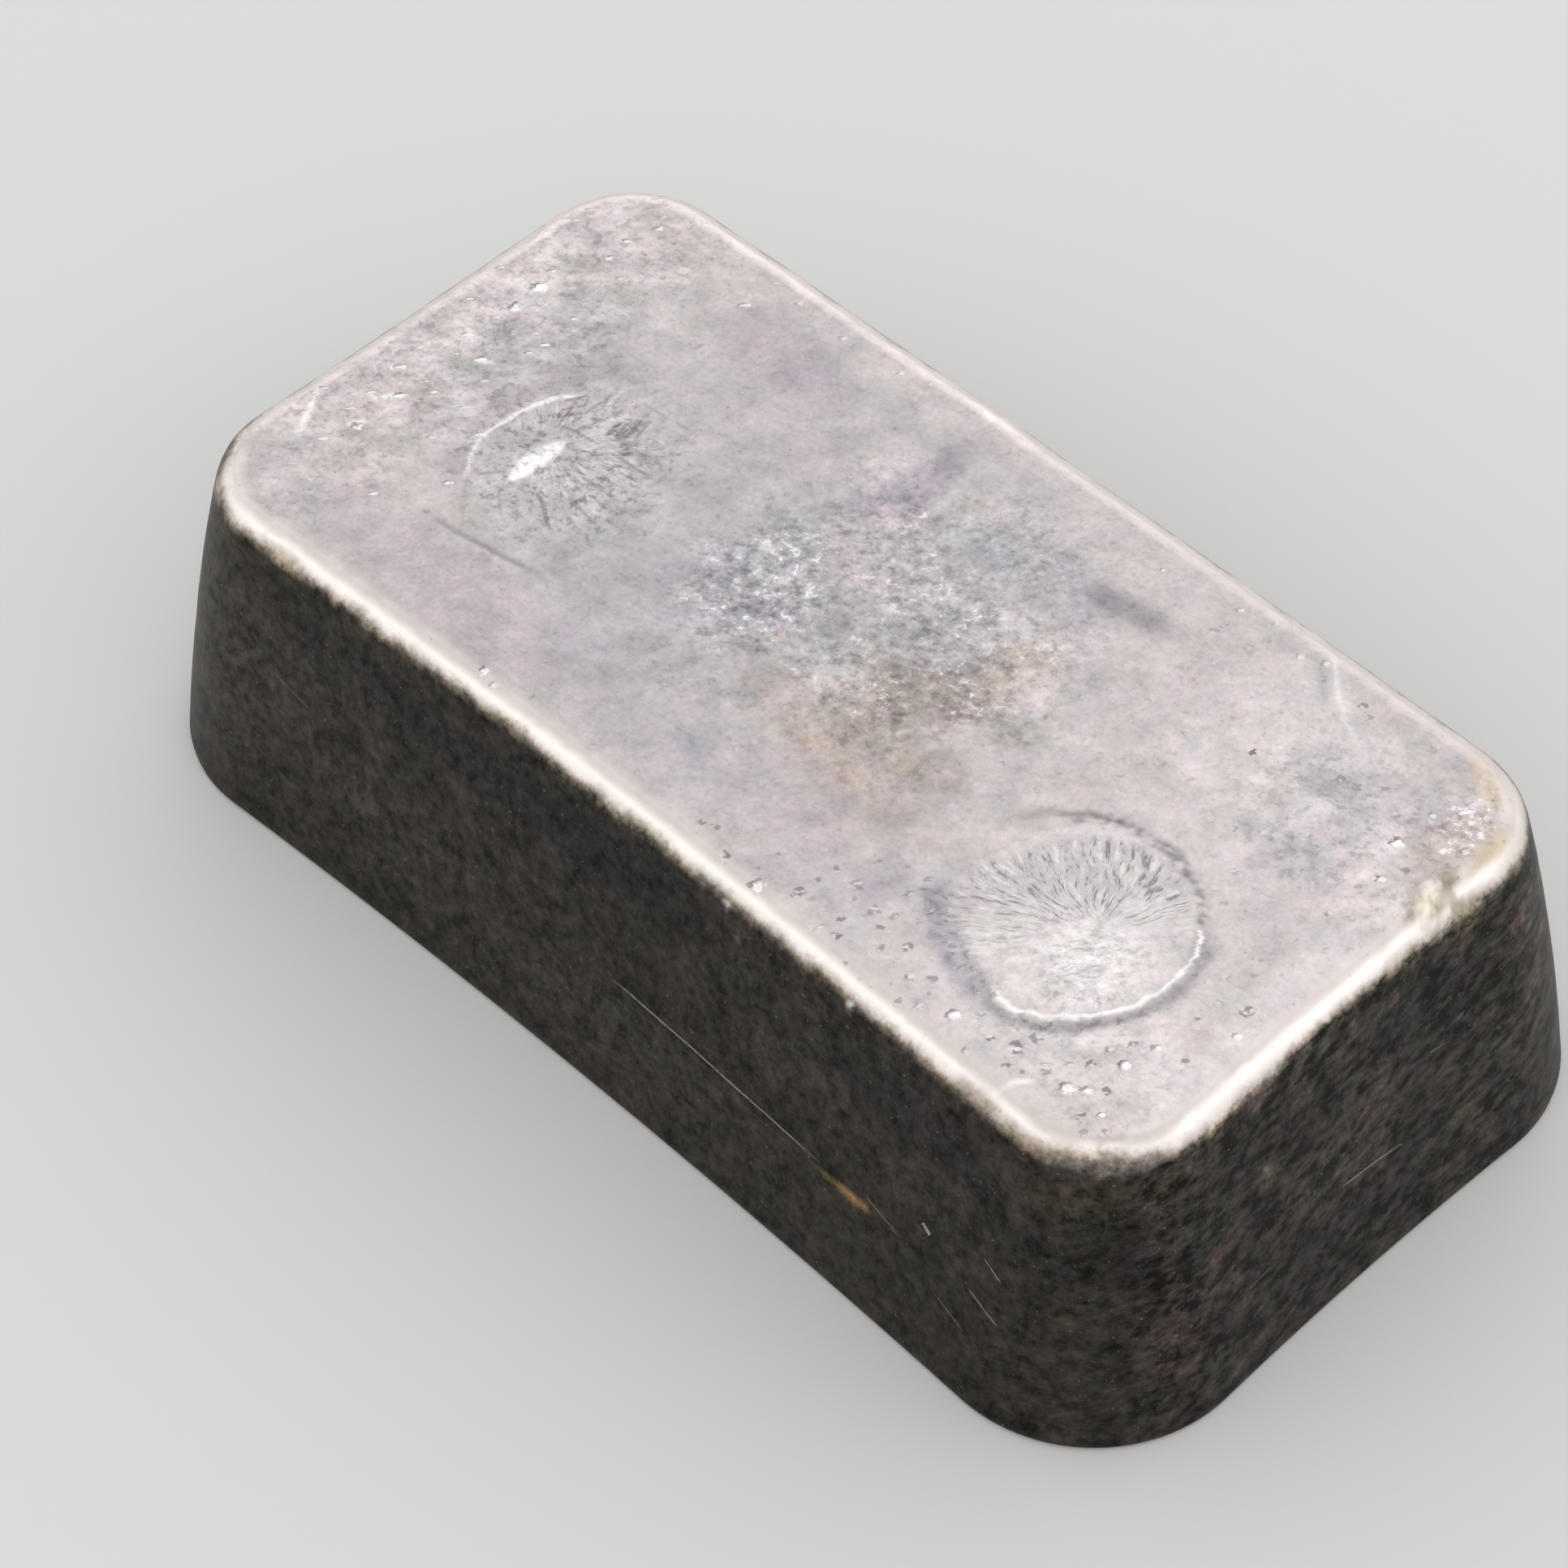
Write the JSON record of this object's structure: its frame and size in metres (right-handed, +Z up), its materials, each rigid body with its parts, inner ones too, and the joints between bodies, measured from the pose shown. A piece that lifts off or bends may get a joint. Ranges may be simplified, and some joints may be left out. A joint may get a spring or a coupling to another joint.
{
  "type": "cast silver ingot",
  "caption": "Cast silver ingot: a tapered block with rounded corners, slightly drawn-in sides and round pour marks on its narrow face. It rests on its wide side.",
  "frame": {"origin": "centre of the flat underside's bounding box, on the surface that the ingot rests on", "axes": "+Z up, out of the narrow face; +X along the length, towards the end with the raised pour mark; +Y across the width"},
  "size_m": [0.0908, 0.0498, 0.0248],
  "materials": {
    "cast_silver": "as cast, dull silver white with a faint pink and grey patina on the face, and dark tarnish on the walls"
  },
  "bodies": {
    "root": {"ingot": "cast_silver"}
  },
  "joints": []
}
